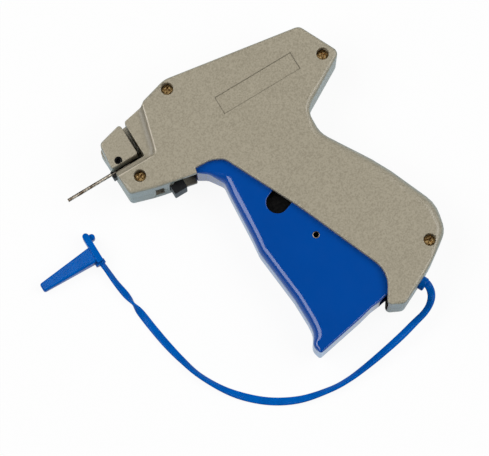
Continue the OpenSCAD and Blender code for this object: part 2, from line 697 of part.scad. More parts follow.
// ---- springs --------------------------------------------------------------------
// A coil spring of round wire along x with closed ends
module coil(len, d, wire, turns) {
    n = 8 * turns;
    r = (d - wire) / 2;
    // the first and the last turn lie flat
    function advance(i) = i < 8 ? 0 : i > n - 8 ? 1 : (i - 8) / (n - 16);
    path = [for (i = [0 : n])
        [wire / 2 + wire * (i < 8 ? i / 8 : i > n - 8 ? 1 + (i - n + 8) / 8 : 1)
         + (len - 3 * wire) * advance(i), r * cos(45 * i), r * sin(45 * i)]];
    swept(path, wire, wire, 6, [for (p = path) [0, p[1], p[2]] / r]);
}

// The compression spring round the pusher rod, between the rod guide and the slide
module return_spring() {
    color([0.72, 0.73, 0.75])
        translate([guide_end + 0.1, 0, 0])
            coil(fork_x - 6.6 - guide_end - 0.2, spring_d, spring_wire, spring_turns);
}

// ---- needle ---------------------------------------------------------------------
module needle() {
    color([0.82, 0.83, 0.85])
        difference() {
            translate([-needle_out, 0, 0])
                rotate([0, 90, 0])
                    cylinder(d = needle_d, h = needle_out + cover_back - 4.2);
            translate([-needle_out - 1, 0, 0])
                rotate([0, 90, 0])
                    cylinder(d = needle_bore, h = needle_out + 40);
            // the slit that lets the filament out, on the left and low side
            rotate([-35, 0, 0])
                block([-needle_out - 1, -needle_slit / 2, 0], [20, needle_slit / 2, needle_d]);
            // slanted cutting point
            translate([-needle_out, needle_d / 2, 0])
                rotate([0, 0, -62])
                    translate([-4, -4, -2])
                        cube([4, 8, 4]);
        }
}

module needle_base() {
    color([0.1, 0.1, 0.11])
        difference() {
            union() {
                block([-0.7, base_nose, -3.4], [1.5, 0.6, 3.4]);
                block([1.2, -4.4, -3.4], [12.5, 0.6, 3.4]);
                block([0.8, 0, -3.4], [7.2, 2.6, 3.4]);
            }
            translate([-2, 0, 0])
                rotate([0, 90, 0])
                    cylinder(d = needle_d + 2 * 0.01, h = 20);
            block([cover_back - 4.2, -1.4, -channel_t / 2], [14, 2, channel_t / 2]);
            // the filament's way along the slot
            block([-2, -1.6, 0], [14, 0, 4]);
        }
}

// A steel blade beside the channel that cuts each fastener off the runner
module knife() {
    color([0.78, 0.79, 0.8])
        difference() {
            block([15.8, -4.2, -0.4], [16.9, -2.5, 0.4]);
            translate([15.8, -2.5, -1])
                rotate([0, 0, 35])
                    block([-2, 0, 0], [3, 2, 2]);
        }
}

// ---- feed -----------------------------------------------------------------------
module feed_wheel() {
    root_r = wheel_d / 2 - 1.5;
    color([0.78, 0.72, 0.5])
        translate([wheel_at[0], wheel_at[1], -wheel_t / 2])
            difference() {
                linear_extrude(wheel_t)
                    polygon([for (i = [0 : wheel_teeth - 1]) each
                        let (a = 360 * i / wheel_teeth, p = 360 / wheel_teeth)
                        [[root_r * cos(a), root_r * sin(a)],
                         [wheel_d / 2 * cos(a + p * 0.62), wheel_d / 2 * sin(a + p * 0.62)],
                         [wheel_d / 2 * cos(a + p * 0.82), wheel_d / 2 * sin(a + p * 0.82)]]]);
                translate([0, 0, -1])
                    cylinder(d = wheel_shaft_d + 2 * fit, h = wheel_t + 2);
            }
}

module wheel_shaft() {
    color([0.75, 0.76, 0.78])
        post(wheel_at, wheel_shaft_d, -inner_z + 0.2, inner_z - 0.2);
}

module feed_pawl() {
    reach = norm(wheel_at - pawl_at) - wheel_d / 2 + 0.9;
    color([0.3, 0.3, 0.32])
        difference() {
            union() {
                post(pawl_at, 4.4, -1.4, 1.4);
                translate([pawl_at[0], pawl_at[1], -1.4])
                    rotate([0, 0, direction(wheel_at - pawl_at) - 32])
                        linear_extrude(2.8)
                            polygon([[0, -2], [reach, 0.2], [reach + 0.1, 1.1], [0, 2]]);
            }
            post(pawl_at, 2 + 2 * fit, -5, 5);
        }
}

module pawl_pin() {
    color([0.75, 0.76, 0.78])
        post(pawl_at, 2, -inner_z + 0.2, inner_z - 0.2);
}

// Leaf springs: a bent strip from points, with its width across z
module leaf(path, t, w) {
    translate([0, 0, -w / 2])
        linear_extrude(w)
            for (i = [0 : len(path) - 2])
                let (a = path[i], b = path[i + 1], n = t / 2 * [a[1] - b[1], b[0] - a[0]] / norm(b - a)) {
                    polygon([a + n, a - n, b - n, b + n]);
                    translate(b)
                        circle(d = t, $fn = 16);
                }
}

// A torsion spring round the pawl's boss: one leg on the pawl, the other on the shell
module pawl_spring() {
    r = 2.45;
    turns = [for (i = [0 : 24]) [r * cos(90 - 45 * i), r * sin(90 - 45 * i), 2.1 + 0.055 * i]];
    path = concat([[-4.9, 3.2, 1], [-4.5, 3.25, 1.8], [-3.6, 3.1, 2.06]], turns,
                  [[3, r + 0.05, 3.42], [5.9, r + 0.05, 3.42]]);
    color([0.8, 0.81, 0.83])
        translate([pawl_at[0], pawl_at[1], 0])
            swept(path, 0.4, 0.4, 6, [for (p = path) unit([p[0], p[1], 0])]);
}

// A leaf spring that clicks between the wheel's teeth
module detent_spring() {
    tip = wheel_at + (wheel_d / 2 + run + 0.15) * [cos(-40), sin(-40)];
    color([0.8, 0.81, 0.83])
        leaf([[29.7, -13.3], [27, -13.3], tip], 0.3, 2.4);
}

// ---- release button -------------------------------------------------------------
module release_button() {
    from = button_at - button_len / 2;
    to = button_at + button_len / 2;
    color([0.06, 0.06, 0.07]) {
        block([from, -22.3, -ear_z[2]], [to, -16.4, ear_z[1]]);
        for (z = [[-ear_z[2], -ear_z[0]], [ear_z[0], ear_z[1]]]) {
            block([from, -16.5, z[0]], [to, -15.8, z[1]]);
            block([from - ear_out, -15.8, z[0]], [to + ear_out, ear_top, z[1]]);
        }
    }
}

// Two coil springs that push the button out
module button_spring() {
    color([0.8, 0.81, 0.83])
        for (z = [-4, 3.6])
            translate([button_at, ear_top + 0.05, z])
                rotate([0, 0, 90])
                    coil(button_roof - ear_top - 0.1, 2.3, 0.3, 4);
}

// ---- cap, strap and plug --------------------------------------------------------
// A square sleeve that tapers to its closed tip; the mouth looks rearwards
module sleeve(mouth, tip, x_tip) {
    hull() {
        translate([-0.01, 0, 0])
            rounded_square_slab(mouth, 0.01);
        // the closed tip leans towards the table
        translate([x_tip, -0.7 * x_tip / -cap_len, -1.2 * x_tip / -cap_len])
            rounded_square_slab(tip, 0.01);
    }
}

module rounded_square_slab(w, t) {
    rotate([90, 0, 90])
        linear_extrude(t)
            hull()
                for (i = [-1, 1], j = [-1, 1])
                    translate([i * (w / 2 - sleeve_r), j * (w / 2 - sleeve_r)])
                        circle(r = sleeve_r, $fn = 24);
}

module needle_cap() {
    inner = cap_mouth / 2 - cap_wall;
    color([0.0, 0.27, 0.58])
        translate(cap_at)
            difference() {
                union() {
                    sleeve(cap_mouth, cap_tip, -cap_len);
                    // flange with a round upper end
                    block([0, -4.4, -4.1], [2.8, 8, 4.1]);
                    post([1.4, 8.1], 2.8, -4.1, 4.1);
                    // knob that clips under the nose
                    post([3.5, 6.8], 2.8, -2.4, 2.4);
                    // boss that the strap grows out of
                    translate([1.05, -3.4, 0])
                        rotate([90, 0, 0])
                            cylinder(d = 4.6, h = 1.8);
                }
                sleeve(cap_mouth - 2 * cap_wall, cap_tip - 2 * cap_wall, -cap_len + 1.6);
                block([-0.5, -inner, -inner], [4, inner, inner]);
            }
}

module cap_strap() {
    way = smooth(strap_route, strap_steps);
    n = len(way) - 1;
    path = [for (p = way) [p[0], p[1], p[2]]];
    across = [for (i = [0 : n])
        let (ahead = path[min(i + 1, n)] - path[max(i - 1, 0)], side = unit(cross([0, 0, 1], ahead)))
        [0, 0, 1] * cos(way[i][3]) + side * sin(way[i][3])];
    color([0.0, 0.3, 0.62])
        swept(path, strap_w, strap_t, 8, across);
}

module on_plug() {
    translate(plug_at)
        rotate([0, 0, direction(plug_way)])
            rotate([0, 90, 0])
                children();
}

module strap_plug() {
    color([0.0, 0.27, 0.58])
        on_plug() {
            translate([0, 0, 0.1])
                cylinder(d = plug_d, h = plug_t);
            translate([0, 0, -4.8])
                cylinder(d = peg_d, h = 5);
        }
}

// ---- the tool in the row frame --------------------------------------------------
module place() {
    translate(-origin)
        children();
}

place() left_shell();
place() right_shell();
place() nose_cover();
place() clamp_screw();
place() housing_screws();
place() trigger();
place() trigger_pin();
place() link_pin();
place() drive_arm();
place() arm_pin();
place() pusher_slide();
place() slide_pin();
place() pusher_rod();
place() rod_guide();
place() return_spring();
place() needle();
place() needle_base();
place() knife();
place() release_button();
place() button_spring();
place() feed_wheel();
place() wheel_shaft();
place() feed_pawl();
place() pawl_pin();
place() pawl_spring();
place() detent_spring();
place() needle_cap();
place() cap_strap();
place() strap_plug();
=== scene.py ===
# %% [markdown]
# # A garment tag attacher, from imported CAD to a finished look
# The tool lies on its right side. Its moulded housing, squeezed trigger and inner drive come
# from the CAD model, which is loaded here as a fixed frame. Blender adds what a CAD kernel
# leaves out: softened edges, fine moulded grain, the finish of each metal and the limp strap.

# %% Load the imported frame
import math

import bmesh
import bpy
from mathutils import Matrix, Vector


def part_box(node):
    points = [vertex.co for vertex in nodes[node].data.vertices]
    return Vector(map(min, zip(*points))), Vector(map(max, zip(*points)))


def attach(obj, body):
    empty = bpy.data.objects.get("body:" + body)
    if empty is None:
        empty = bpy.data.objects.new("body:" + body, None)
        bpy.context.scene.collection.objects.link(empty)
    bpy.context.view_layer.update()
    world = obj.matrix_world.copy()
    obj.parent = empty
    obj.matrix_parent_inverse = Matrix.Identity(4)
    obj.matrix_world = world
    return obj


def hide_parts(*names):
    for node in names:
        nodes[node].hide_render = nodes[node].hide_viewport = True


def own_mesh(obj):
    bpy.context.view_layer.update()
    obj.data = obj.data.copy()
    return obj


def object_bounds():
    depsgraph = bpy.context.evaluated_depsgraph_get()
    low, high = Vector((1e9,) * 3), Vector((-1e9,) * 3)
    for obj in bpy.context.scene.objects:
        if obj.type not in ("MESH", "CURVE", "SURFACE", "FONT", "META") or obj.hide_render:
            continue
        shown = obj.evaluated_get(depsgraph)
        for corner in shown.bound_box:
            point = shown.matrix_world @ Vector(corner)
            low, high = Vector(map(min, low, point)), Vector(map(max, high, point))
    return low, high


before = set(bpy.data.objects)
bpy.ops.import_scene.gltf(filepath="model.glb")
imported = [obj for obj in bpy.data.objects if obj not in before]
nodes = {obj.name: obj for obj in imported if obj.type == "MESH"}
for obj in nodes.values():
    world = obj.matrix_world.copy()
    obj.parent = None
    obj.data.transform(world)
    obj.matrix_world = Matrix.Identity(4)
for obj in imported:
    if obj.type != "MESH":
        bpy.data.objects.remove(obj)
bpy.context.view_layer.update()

# %% [markdown]
# ## One ruler for every piece
# The CAD source measures in millimetres from the front of the nose and the needle's axis. The
# row frame has another origin, so one helper turns those numbers into Blender's metres. The
# trigger's pin has a known place in the source, and its box shows where that place came to lie.

# %% A point of the CAD source in metres
trigger_pivot = Vector((42.0, -14.5, 0.0))
low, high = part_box("trigger_pin")
shift = (low + high) / 2 - trigger_pivot / 1000


def at(x, y, z=0.0):
    """A place in the source's mm, in the frame's metres."""
    return Vector((x, y, z)) / 1000 + shift


print("origin of the source in the row frame:", [round(v * 1000, 2) for v in shift])

# %% [markdown]
# ## The camera
# The photograph looks down on the tool from a steep angle, turned so that the barrel climbs to
# the right. A long lens keeps the far and the near side almost the same size, as there. The
# picture's width in pixels and the size of a pixel on the tool give the focal length.

# %% Camera at the photograph's angle
turn, tilt, distance = math.radians(31.5), math.radians(80.3), 1.3
picture_wide, pixel, sensor_mm = 489, 0.425e-3, 36.0
picture_middle = at(35.7, -49.3)
picture_right = Vector((math.cos(turn), -math.sin(turn), 0))
picture_up = Vector((math.sin(turn), math.cos(turn), 0))
look = picture_up * math.cos(tilt) - Vector((0, 0, math.sin(tilt)))
camera = bpy.data.objects.new("camera", bpy.data.cameras.new("camera"))
bpy.context.collection.objects.link(camera)
bpy.context.scene.camera = camera
camera.data.lens = sensor_mm * distance / (picture_wide * pixel)
camera.data.clip_end = 20
camera.location = picture_middle - look * distance
camera.rotation_euler = look.to_track_quat("-Z", "Y").to_euler()
print("lens in mm:", round(camera.data.lens, 1))

# %% [markdown]
# ## The strap
# A limp flat ribbon of soft plastic keeps the needle's cap on the tool. It leaves the plug in
# the grip, sags to the table, runs round in one wide bow and turns on its edge twice before it
# grows into the cap. A curve object would hide that twist, so a ribbon mesh is swept along the
# points that the CAD source uses, with the angle by which it's turned at each. Both ends run a
# little into what carries them, as the strap, the cap and the plug are moulded in one.

# %% The strap's route, from the cap to the plug: x, y, z in mm and the turn in degrees
strap_route = [
    (-23.48, -29.2, -8.9, 58), (-23.4, -30, -9, 58), (-23.1, -33, -9.4, 58),
    (-22.6, -39.3, -10.3, 50), (-21.6, -46, -10.7, 38), (-20.9, -51.1, -10.6, 88),
    (-20.2, -56.2, -11.1, 150), (-19.2, -64.2, -11.7, 178), (-17.9, -72.8, -11.4, 196),
    (-16, -81.7, -10.9, 220), (-12.9, -91.9, -10.6, 236), (-6.9, -102.9, -10.8, 220),
    (0.4, -111.4, -11.7, 186), (9, -118.3, -11.7, 180), (19.3, -123.4, -10.9, 210),
    (31.7, -126.2, -10.1, 232), (40, -126.7, -9.4, 234), (48.1, -126.1, -8.4, 226),
    (57.9, -124.8, -7, 214), (68.2, -123, -5.6, 205), (76.4, -121.1, -4.3, 214),
    (81.6, -119.9, -3.3, 222), (85.3, -118.2, -2.5, 222), (87.8, -115.9, -1.6, 208),
    (89, -113.3, -0.7, 192), (89.18, -110.86, 0, 180), (88.95, -109.4, 0, 180)]


def smooth(points, steps):
    """A smooth way through the points, as the CAD source draws it."""
    way = []
    for i in range(len(points) - 1):
        a, b, c, d = (Vector(points[min(max(k, 0), len(points) - 1)]) for k in range(i - 1, i + 3))
        for k in range(steps + (i == len(points) - 2)):
            t = k / steps
            way.append(b + (c - a) / 2 * t + (a * 2 - b * 5 + c * 4 - d) / 2 * t * t
                       + (b * 3 - a - c * 3 + d) / 2 * t * t * t)
    return way


strap_way = smooth(strap_route, steps=9)[::-1]
strap_line = [at(*p[:3]) for p in strap_way]
strap_length = sum((b - a).length for a, b in zip(strap_line, strap_line[1:]))
print("strap length in mm:", round(strap_length * 1000, 1))

# %% [markdown]
# ## The strap's section
# The ribbon is a flat bar with rounded edges. Each ring of points is an oval that two powers
# under one make nearly square, and it stands across the route, turned by its angle. The UV map
# runs along the strap and once round it, so that a pattern can follow the ribbon.


# %% A ribbon with rounded edges swept along the route
def select_only(*objects):
    """Selects these objects alone and makes the first one active."""
    for other in bpy.context.selected_objects:
        other.select_set(False)
    for o in objects:
        o.select_set(True)
    bpy.context.view_layer.objects.active = objects[0]


def ribbon(name, line, turns, width, thick, sides=20, across_power=0.45, thick_power=0.6):
    """A ribbon along a line of points, turned by an angle at each; uv runs in cm."""
    bm = bmesh.new()
    uv = bm.loops.layers.uv.new("along")
    rings, run = [], 0.0
    for i, p in enumerate(line):
        ahead = (line[min(i + 1, len(line) - 1)] - line[max(i - 1, 0)]).normalized()
        side = Vector((0, 0, 1)).cross(ahead).normalized()
        lift = ahead.cross(side)
        spin = Matrix.Rotation(turns[i], 3, ahead)
        side, lift = spin @ side, spin @ lift
        ring = []
        for k in range(sides):
            a = 2 * math.pi * (k + 0.5) / sides
            c, s = math.cos(a), math.sin(a)
            ring.append(bm.verts.new(
                p + side * width / 2 * math.copysign(abs(c) ** across_power, c)
                + lift * thick / 2 * math.copysign(abs(s) ** thick_power, s)))
        run += (p - line[i - 1]).length if i else 0.0
        rings.append((ring, run * 100))
    for (lower, u), (upper, v) in zip(rings, rings[1:]):
        for k in range(sides):
            j = (k + 1) % sides
            face = bm.faces.new((lower[k], upper[k], upper[j], lower[j]))
            for loop, (along, step) in zip(face.loops, ((u, k), (v, k), (v, k + 1), (u, k + 1))):
                loop[uv].uv = (along, step / sides)
    bm.faces.new(rings[0][0])
    bm.faces.new(rings[-1][0][::-1])
    bmesh.ops.recalc_face_normals(bm, faces=bm.faces)
    mesh = bpy.data.meshes.new(name)
    bm.to_mesh(mesh)
    o = bpy.data.objects.new(name, mesh)
    bpy.context.collection.objects.link(o)
    select_only(o)
    bpy.ops.object.shade_smooth_by_angle(angle=math.radians(40))
    return o


strap_wide, strap_thick = 0.0034, 0.0014
strap_turns = [math.radians(p[3]) for p in strap_way]
strap = ribbon("strap", strap_line, strap_turns, strap_wide, strap_thick)
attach(strap, "housing")
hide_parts("cap_strap")
print("strap has", len(strap.data.polygons), "faces")

# %% [markdown]
# ## Helpers for modelling
# The mouldings start from merged copies of their CAD nodes. Their edges are then rounded by
# Blender's own bevel, which acts on what is selected. So each piece starts with nothing
# selected, and its edges are picked in code, by the box they lie in and the angle they make.
# Where a copy needs a small change of shape first, its points are picked and moved by box too.

# %% Copies of CAD nodes, and picking their edges
merge_gap, flat_angle, sharp_angle = 2e-6, 0.5, 35


def copy_of_node(node, name):
    """A merged copy of a CAD node's loose triangles, its flat faces joined, in edit mode."""
    o = bpy.data.objects.new(name, nodes[node].data.copy())
    bpy.context.collection.objects.link(o)
    o.data.materials.clear()
    select_only(o)
    bpy.ops.object.mode_set(mode="EDIT")
    bpy.ops.mesh.select_mode(type="EDGE")
    bpy.ops.mesh.select_all(action="SELECT")
    bpy.ops.mesh.remove_doubles(threshold=merge_gap)
    bpy.ops.mesh.dissolve_limited(angle_limit=math.radians(flat_angle))
    return o


def pick_edges(o, low, high, least):
    """Selects the edges in a box, in the source's mm, whose faces meet at least so sharply."""
    bm = bmesh.from_edit_mesh(o.data)
    bm.normal_update()
    low, high = at(*low), at(*high)
    bpy.ops.mesh.select_all(action="DESELECT")
    picked = 0
    for e in bm.edges:
        inside = all(a - merge_gap < c < b + merge_gap
                     for v in e.verts for a, c, b in zip(low, v.co, high))
        if inside and len(e.link_faces) == 2 and e.calc_face_angle(0.0) > math.radians(least):
            e.select_set(True)
            picked += 1
    bm.select_flush_mode()
    bmesh.update_edit_mesh(o.data)
    return picked


def bevel(radius, segments):
    """Rounds the picked edges, or the rim of the picked faces; radius is in mm."""
    bpy.ops.mesh.bevel(offset=radius / 1000, segments=segments, affect="EDGES")


def round_edges(o, low, high, radius, segments=3, least=sharp_angle):
    """Rounds the edges in a box, if there are any; radius is in mm."""
    picked = pick_edges(o, low, high, least)
    if picked:
        bevel(radius, segments)
    print("  rounded", picked, "edges of", o.name, "by", radius)


# %% Picking and moving points
def pick_points(o, low, high):
    """Selects the points in a box, in the source's mm, and stays in point mode."""
    bpy.ops.mesh.select_mode(type="VERT")
    bpy.ops.mesh.select_all(action="DESELECT")
    bm = bmesh.from_edit_mesh(o.data)
    low, high = at(*low), at(*high)
    for v in bm.verts:
        v.select_set(all(a < c < b for a, c, b in zip(low, v.co, high)))
    bm.select_flush_mode()
    bmesh.update_edit_mesh(o.data)
    return sum(v.select for v in bm.verts)


def move_points(o, low, high, move):
    """Moves the points in a box; the box and the move are in the source's mm."""
    print("  moved", pick_points(o, low, high), "points of", o.name, "by", move)
    bpy.ops.transform.translate(value=Vector(move) / 1000)


def layer(height, reach, x0, y0, x1, y1):
    """The two corners of a thin box about one height, in the source's mm."""
    return (x0, y0, height - reach), (x1, y1, height + reach)


# %% Smooth shading with true flats, and what every finished piece says
def shade(o):
    """Shades smoothly over small angles, while large flat faces keep their own normals."""
    select_only(o)
    bpy.ops.object.shade_smooth_by_angle(angle=math.radians(sharp_angle))
    flats = o.modifiers.new("flat faces", "WEIGHTED_NORMAL")
    flats.keep_sharp = True
    bpy.ops.object.modifier_apply(modifier=flats.name)


def hand_over(o, node, body="housing"):
    """The finished piece takes its node's place and body, and is shaded."""
    if o.mode == "EDIT":
        bpy.ops.object.mode_set(mode="OBJECT")
    shade(o)
    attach(o, body)
    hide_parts(node)
    print(o.name, "has", len(o.data.polygons), "faces")
    return o


# %% [markdown]
# ## The left half of the housing
# The halves are injection moulded and screwed together. The CAD nodes carry the large radii of
# the outline as facets. What they leave sharp gets a small radius here: the crest and the floor
# of the step behind the slot, the strip under the slot, the rim of the recessed panel and the
# mouths of the screws' recesses. The edge where the halves meet is broken too, so the joint
# shows from the side as a fine groove. Before all that, the points along the lower edge of
# that strip are moved down, which widens it by 0.7 mm.

# %% Left half
face_height, step_height, thin = 12.5, 11.1, 0.05
slot_crest, strip_edge = (12, -4.3, 30, 22), (-2, -4.3, 16, -4)
step_foot, panel_rim = (-2, -2.4, 15.2, 20), (50, -8, 95, 6)
strip_points = (-2, -3.6, 11), (22, -2.75, 12.6)
screw_places, screw_mouth = ((37.9, 17.2), (8.7, -8.9), (102.2, -4.3), (98.5, -96)), 3


def break_joint(half):
    """A fine bevel all round the edge where the halves of the housing meet."""
    all_round = -10, -120, 120, 30
    round_edges(half, *layer(0, 0.01, *all_round), 0.12, segments=1, least=60)


left_half = copy_of_node("left_shell", "left_half")
move_points(left_half, *strip_points, (0, -0.7, 0))
round_edges(left_half, *layer(face_height, thin, *slot_crest), 0.55, segments=4)
round_edges(left_half, *layer(face_height, thin, *strip_edge), 0.45)
round_edges(left_half, *layer(step_height, 0.1, *step_foot), 0.3)
round_edges(left_half, *layer(face_height, thin, *panel_rim), 0.15)
for x, y in screw_places:
    mouth = x - screw_mouth, y - screw_mouth, x + screw_mouth, y + screw_mouth
    round_edges(left_half, *layer(face_height, thin, *mouth), 0.25)
break_joint(left_half)
hand_over(left_half, "left_shell")

# %% [markdown]
# ## The right half and the nose plate
# The tool lies on its right half, so all that shows of it is its edge below the joint. The
# nose plate is a separate moulding over the needle's seat. In its CAD node the hole of the
# needle's screw just breaks through the underside in a thin slit. The points of that slit are
# picked and drawn together at its middle, which closes it.

# %% Right half and nose plate
slit, slit_middle = ((3.2, -0.3, -1), (5.4, 0.15, 13)), (4.3, 0, 12)
right_half = copy_of_node("right_shell", "right_half")
break_joint(right_half)
hand_over(right_half, "right_shell")
nose_plate = copy_of_node("nose_cover", "nose_plate")
print("  closed", pick_points(nose_plate, *slit), "points of the slit")
bpy.ops.transform.resize(value=(0, 1, 1), center_override=at(*slit_middle))
hand_over(nose_plate, "nose_cover")

# %% [markdown]
# ## The trigger and its rolled pin
# The trigger is one hollow moulding with generous radii where the fingers lie. The hole in its
# cheek lets the drive arm's hub show, and a rolled pin crosses it lower down. The rear lower
# corner of the CAD node is shorter than in the photograph, so its points are moved out before
# anything is rounded, in three groups that overlap.

# %% Trigger and rolled pin
corner_moves = (
    ((72.5, -104, -20), (80, -84, 20), (2.2, 0, 0)),
    ((66, -107, -20), (80, -100, 20), (-0.7, -1.2, 0)),
    ((71, -107, -20), (80, -101, 20), (-0.7, -1.2, 0)))
hub_hole, pin_end = (46, -56, 62, -40), (56, -72, 62, -66)
squeeze_trigger = copy_of_node("trigger", "squeeze_trigger")
for low, high, move in corner_moves:
    move_points(squeeze_trigger, low, high, move)
round_edges(squeeze_trigger, *layer(9.4, 0.1, *hub_hole), 0.25)
hand_over(squeeze_trigger, "trigger", "trigger")
rolled_pin = copy_of_node("link_pin", "rolled_pin")
round_edges(rolled_pin, *layer(9.3, 0.1, *pin_end), 0.3)
hand_over(rolled_pin, "link_pin", "trigger")

# %% [markdown]
# ## The needle's cap
# The cap is a square sleeve with a closed, rounded tip, a flange that clips under the nose and a
# small boss that the strap grows out of. It is moulded in soft plastic, so the tip, the
# flange's upper rim and the boss are blunt. A bevel with its own radius does each of them.

# %% Cap
cap_tip = (-52, -29, -14), (-50.2, -21, -5)
cap_boss = (-22.3, -20, -11), (-18, -16, -5)
flange_height, flange_rim = -4.1, (-25.01, -29.2, -22.1, -14)
cap = copy_of_node("needle_cap", "cap")
round_edges(cap, *cap_tip, 0.9, segments=4)
round_edges(cap, *layer(flange_height, 0.01, *flange_rim), 0.3, least=60)
round_edges(cap, *cap_boss, 0.4)
hand_over(cap, "needle_cap")

# %% [markdown]
# ## The plug in the grip
# The strap ends in a thick round button whose peg sits in a hole between the halves. It's a
# cylinder whose face is inset and pushed in a little, with a blunt rim. It is made upright at
# the origin, then turned to the grip's slanted edge, and its place goes into its mesh.


# %% Helpers for pieces that start as a primitive
def pick_faces(o, test):
    """Selects the faces for whose centre, in mm, and normal the test is true."""
    bm = bmesh.from_edit_mesh(o.data)
    bpy.ops.mesh.select_all(action="DESELECT")
    for f in bm.faces:
        f.select_set(test(f.calc_center_median() * 1000, f.normal))
    bm.select_flush_mode()
    bmesh.update_edit_mesh(o.data)


def looks_up(centre, normal):
    return normal.z > 0.9


def looks_straight_up(centre, normal):
    return normal.z > 0.99


def looks_down(centre, normal):
    return normal.z < -0.9


def start(kind, name, **sizes):
    """A primitive in edit mode; sizes are floats in mm and counts are whole numbers."""
    bpy.ops.object.select_all(action="DESELECT")
    getattr(bpy.ops.mesh, "primitive_" + kind + "_add")(
        **{k: v / 1000 if isinstance(v, float) else v for k, v in sizes.items()})
    bpy.context.object.name = name
    bpy.ops.object.mode_set(mode="EDIT")
    bpy.ops.mesh.select_mode(type="FACE")
    return bpy.context.object


def inset(width, height=0.0):
    """Insets the picked faces by a width in mm and moves them by a height."""
    bpy.ops.mesh.inset(thickness=width / 1000, depth=height / 1000)


def extrude(height):
    """Extrudes the picked faces upwards by a height in mm, or downwards where it's negative."""
    bpy.ops.mesh.extrude_region_move(TRANSFORM_OT_translate={"value": (0, 0, height / 1000)})


def settle(o, matrix):
    """Puts the place of a piece in object mode into its mesh."""
    select_only(o)
    o.matrix_world = matrix
    bpy.ops.object.transform_apply(location=True, rotation=True, scale=True)


# %% Plug
plug_place, plug_way = at(87.225, -108.139), Vector((0.42853, -0.903527, 0))
plug_lift, plug_round, dish_inset, dish_deep, peg_inset, peg_long = 1.3, 0.6, 0.7, 0.25, 1.55, 4.8
plug = start("cylinder", "plug", vertices=48, radius=3.0, depth=2.4)
pick_faces(plug, looks_up)
bevel(plug_round, 4)
pick_faces(plug, looks_straight_up)
inset(dish_inset, -dish_deep)
pick_faces(plug, looks_down)
inset(peg_inset)
extrude(-peg_long)
bpy.ops.object.mode_set(mode="OBJECT")
settle(plug, Matrix.Translation(plug_place + plug_way * plug_lift / 1000)
       @ plug_way.to_track_quat("Z", "Y").to_matrix().to_4x4())
hand_over(plug, "strap_plug")

# %% [markdown]
# ## The pieces on the strap
# The strap is limp and can be laid another way. It has its real length and width, and two
# pieces hang on it: the cap and the plug, whose names are printed here.

# %% The strap's two pieces
print("the strap carries", cap.name, "and", plug.name)

# %% [markdown]
# ## Screws
# Four pan-head screws with a cross recess hold the halves together. One head is made from a
# cylinder: its top face is cut by planes into a cross, the cross is pushed in and narrowed as
# the driver's tip is, and the rim is rounded. The screw is then copied to its four places, each
# copy turned as the driver happened to leave it, and the copies are joined into one piece.

# %% The screw's head: the cut cross
head_top, head_high, head_radius = 9.2, 2.2, 2.5
arm_half, arm_long, cross_deep, cross_taper = 0.42, 1.5, 1.3, 0.72
screw = start("cylinder", "screw", vertices=40, radius=head_radius, depth=head_high)
for reach in (arm_half, arm_long):
    for across in (Vector((1, 0, 0)), Vector((0, 1, 0))):
        for offset in (reach, -reach):
            pick_faces(screw, looks_up)
            bpy.ops.mesh.bisect(plane_co=across * offset / 1000, plane_no=across)


def in_cross(centre, normal):
    """The faces between the cutting planes that form the cross."""
    near, far = sorted((abs(centre.x), abs(centre.y)))
    return normal.z > 0.9 and near < arm_half and far < arm_long


pick_faces(screw, in_cross)
extrude(-cross_deep)
bpy.ops.transform.resize(value=(cross_taper, cross_taper, 1))
print("the cut head has", len(bmesh.from_edit_mesh(screw.data).faces), "faces")

# %% The shank and the rounded rim
shank_inset, shank_long, head_round = 1.05, 15.5, 0.7
rim_height, rim_radius = head_high / 2000 - 1e-6, head_radius / 1000 * 0.98
pick_faces(screw, looks_down)
inset(shank_inset)
extrude(-shank_long)
bpy.ops.mesh.select_mode(type="EDGE")
bm = bmesh.from_edit_mesh(screw.data)
bpy.ops.mesh.select_all(action="DESELECT")
for e in bm.edges:
    e.select_set(all(v.co.z > rim_height and v.co.xy.length > rim_radius for v in e.verts))
bmesh.update_edit_mesh(screw.data)
bevel(head_round, 4)
bpy.ops.object.mode_set(mode="OBJECT")

# %% Four copies, joined
screw_turns, copies = (55, 20, 80, 35), []
for number, ((x, y), turned) in enumerate(zip(screw_places, screw_turns)):
    o = bpy.data.objects.new("screw_%d" % number, screw.data.copy())
    bpy.context.collection.objects.link(o)
    settle(o, Matrix.Translation(at(x, y, head_top - head_high / 2))
           @ Matrix.Rotation(math.radians(turned), 4, "Z"))
    copies.append(o)
bpy.data.objects.remove(screw)
select_only(*copies)
bpy.ops.object.join()
screws = bpy.context.object
screws.name = "screws"
hand_over(screws, "housing_screws")

# %% [markdown]
# ## The needle's screw and the release tab
# A small black screw in the nose plate clamps the needle, and a black release tab stands out
# under the nose. The points of the screw's head are raised by 0.3 mm once its rim is rounded,
# so the head stands a little higher. The edges of the tab's outer end all get one radius.

# %% Needle screw and release tab
head_rim, head_points = (2, -0.5, 6.5, 3.6), ((0, -2, 10.4), (9, 5, 13))
tab_box = (15, -23, -6), (26, -16.3, 6)
needle_screw = copy_of_node("clamp_screw", "needle_screw")
round_edges(needle_screw, *layer(11.8, 0.1, *head_rim), 0.3)
move_points(needle_screw, *head_points, (0, 0, 0.3))
hand_over(needle_screw, "clamp_screw")
tab = copy_of_node("release_button", "tab")
round_edges(tab, *tab_box, 0.4)
hand_over(tab, "release_button", "release_button")
